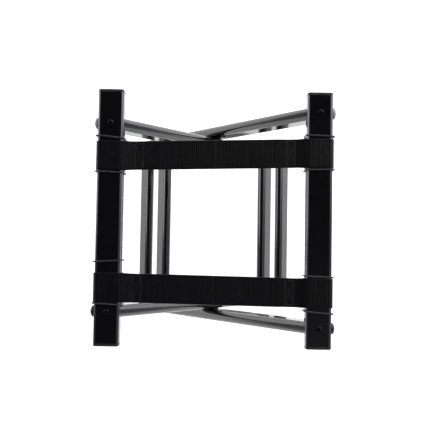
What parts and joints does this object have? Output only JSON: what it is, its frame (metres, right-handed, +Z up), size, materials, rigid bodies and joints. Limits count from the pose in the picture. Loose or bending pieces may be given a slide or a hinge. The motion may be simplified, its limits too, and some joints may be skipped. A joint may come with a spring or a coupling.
{
  "type": "folding x-frame stand",
  "caption": "Folding X-frame stand with two box-tube top rails, crossed flat-oval legs on pivot bolts, crossbars and two webbing straps.",
  "frame": {"origin": "on the floor under the middle of the open stand", "axes": "+Z up; +Y along the top rails and the pivot axis; +X from the left rail to the right rail"},
  "size_m": [0.448, 0.44, 0.4983],
  "materials": {
    "frame_paint": "smooth semi-gloss black powder coat",
    "cap_plastic": "black moulded plastic, fine grain",
    "foot_plastic": "black moulded plastic, fine grain",
    "rubber": "black rubber",
    "grey_rubber": "pale grey rubber",
    "webbing": "black ribbed polypropylene webbing",
    "black_steel": "black oxide",
    "zinc_steel": "zinc plated",
    "nylon": "black nylon"
  },
  "bodies": {
    "outer_frame": {"right_rail": "frame_paint", "right_rail_rear_cap": "cap_plastic", "right_rail_front_cap": "cap_plastic", "outer_rear_leg": "frame_paint", "outer_front_leg": "frame_paint", "outer_rear_leg_insert": "zinc_steel", "outer_front_leg_insert": "zinc_steel", "outer_rear_foot": "foot_plastic", "outer_front_foot": "foot_plastic", "outer_lower_crossbar": "frame_paint", "outer_upper_crossbar": "frame_paint", "right_rail_screws": "black_steel", "right_rail_spacers": "zinc_steel", "right_rear_bumper": "grey_rubber", "right_front_bumper": "rubber", "right_rear_outer_ring": "rubber", "right_rear_inner_ring": "rubber", "right_front_inner_ring": "rubber", "right_front_outer_ring": "rubber", "rear_strap_right_loop": "webbing", "front_strap_right_loop": "webbing", "rear_pivot_sleeve": "zinc_steel", "rear_pivot_bolt": "zinc_steel", "rear_pivot_washer": "nylon", "rear_pivot_nut_washer": "zinc_steel", "rear_pivot_nut": "zinc_steel", "front_pivot_sleeve": "zinc_steel", "front_pivot_bolt": "zinc_steel", "front_pivot_washer": "nylon", "front_pivot_nut_washer": "zinc_steel", "front_pivot_nut": "zinc_steel"},
    "inner_frame": {"left_rail": "frame_paint", "left_rail_rear_cap": "cap_plastic", "left_rail_front_cap": "cap_plastic", "inner_rear_leg": "frame_paint", "inner_front_leg": "frame_paint", "inner_rear_leg_insert": "zinc_steel", "inner_front_leg_insert": "zinc_steel", "inner_rear_foot": "foot_plastic", "inner_front_foot": "foot_plastic", "inner_lower_crossbar": "frame_paint", "inner_upper_crossbar": "frame_paint", "left_rail_screws": "black_steel", "left_rail_spacers": "zinc_steel", "left_rear_bumper": "grey_rubber", "left_front_bumper": "rubber", "left_rear_outer_ring": "rubber", "left_rear_inner_ring": "rubber", "left_front_inner_ring": "rubber", "left_front_outer_ring": "rubber", "rear_strap_left_loop": "webbing", "front_strap_left_loop": "webbing", "rear_pivot_bush": "nylon", "front_pivot_bush": "nylon"},
    "right_strap_halves": {"rear_strap_right_span": "webbing", "front_strap_right_span": "webbing"},
    "left_strap_halves": {"rear_strap_left_span": "webbing", "front_strap_left_span": "webbing"}
  },
  "joints": [
    {"name": "fold", "type": "hinge", "parent": "outer_frame", "child": "inner_frame", "pos_m": [0, 0, 0.244], "axis": [0, 1, 0], "range_deg": [0, 61.5], "deforming": ["rear_strap_right_span", "front_strap_right_span", "rear_strap_left_span", "front_strap_left_span"]},
    {"name": "right_strap_fold", "type": "hinge", "parent": "outer_frame", "child": "right_strap_halves", "pos_m": [0.158, 0, 0.495], "axis": [0, 1, 0], "range_deg": [-56.5, 0]},
    {"name": "left_strap_fold", "type": "hinge", "parent": "inner_frame", "child": "left_strap_halves", "pos_m": [-0.158, 0, 0.495], "axis": [0, 1, 0], "range_deg": [0, 56.5]}
  ],
  "couplings": [
    {"joint": "right_strap_fold", "follows": "fold", "ratio": -0.9195},
    {"joint": "left_strap_fold", "follows": "fold", "ratio": 0.9195}
  ]
}
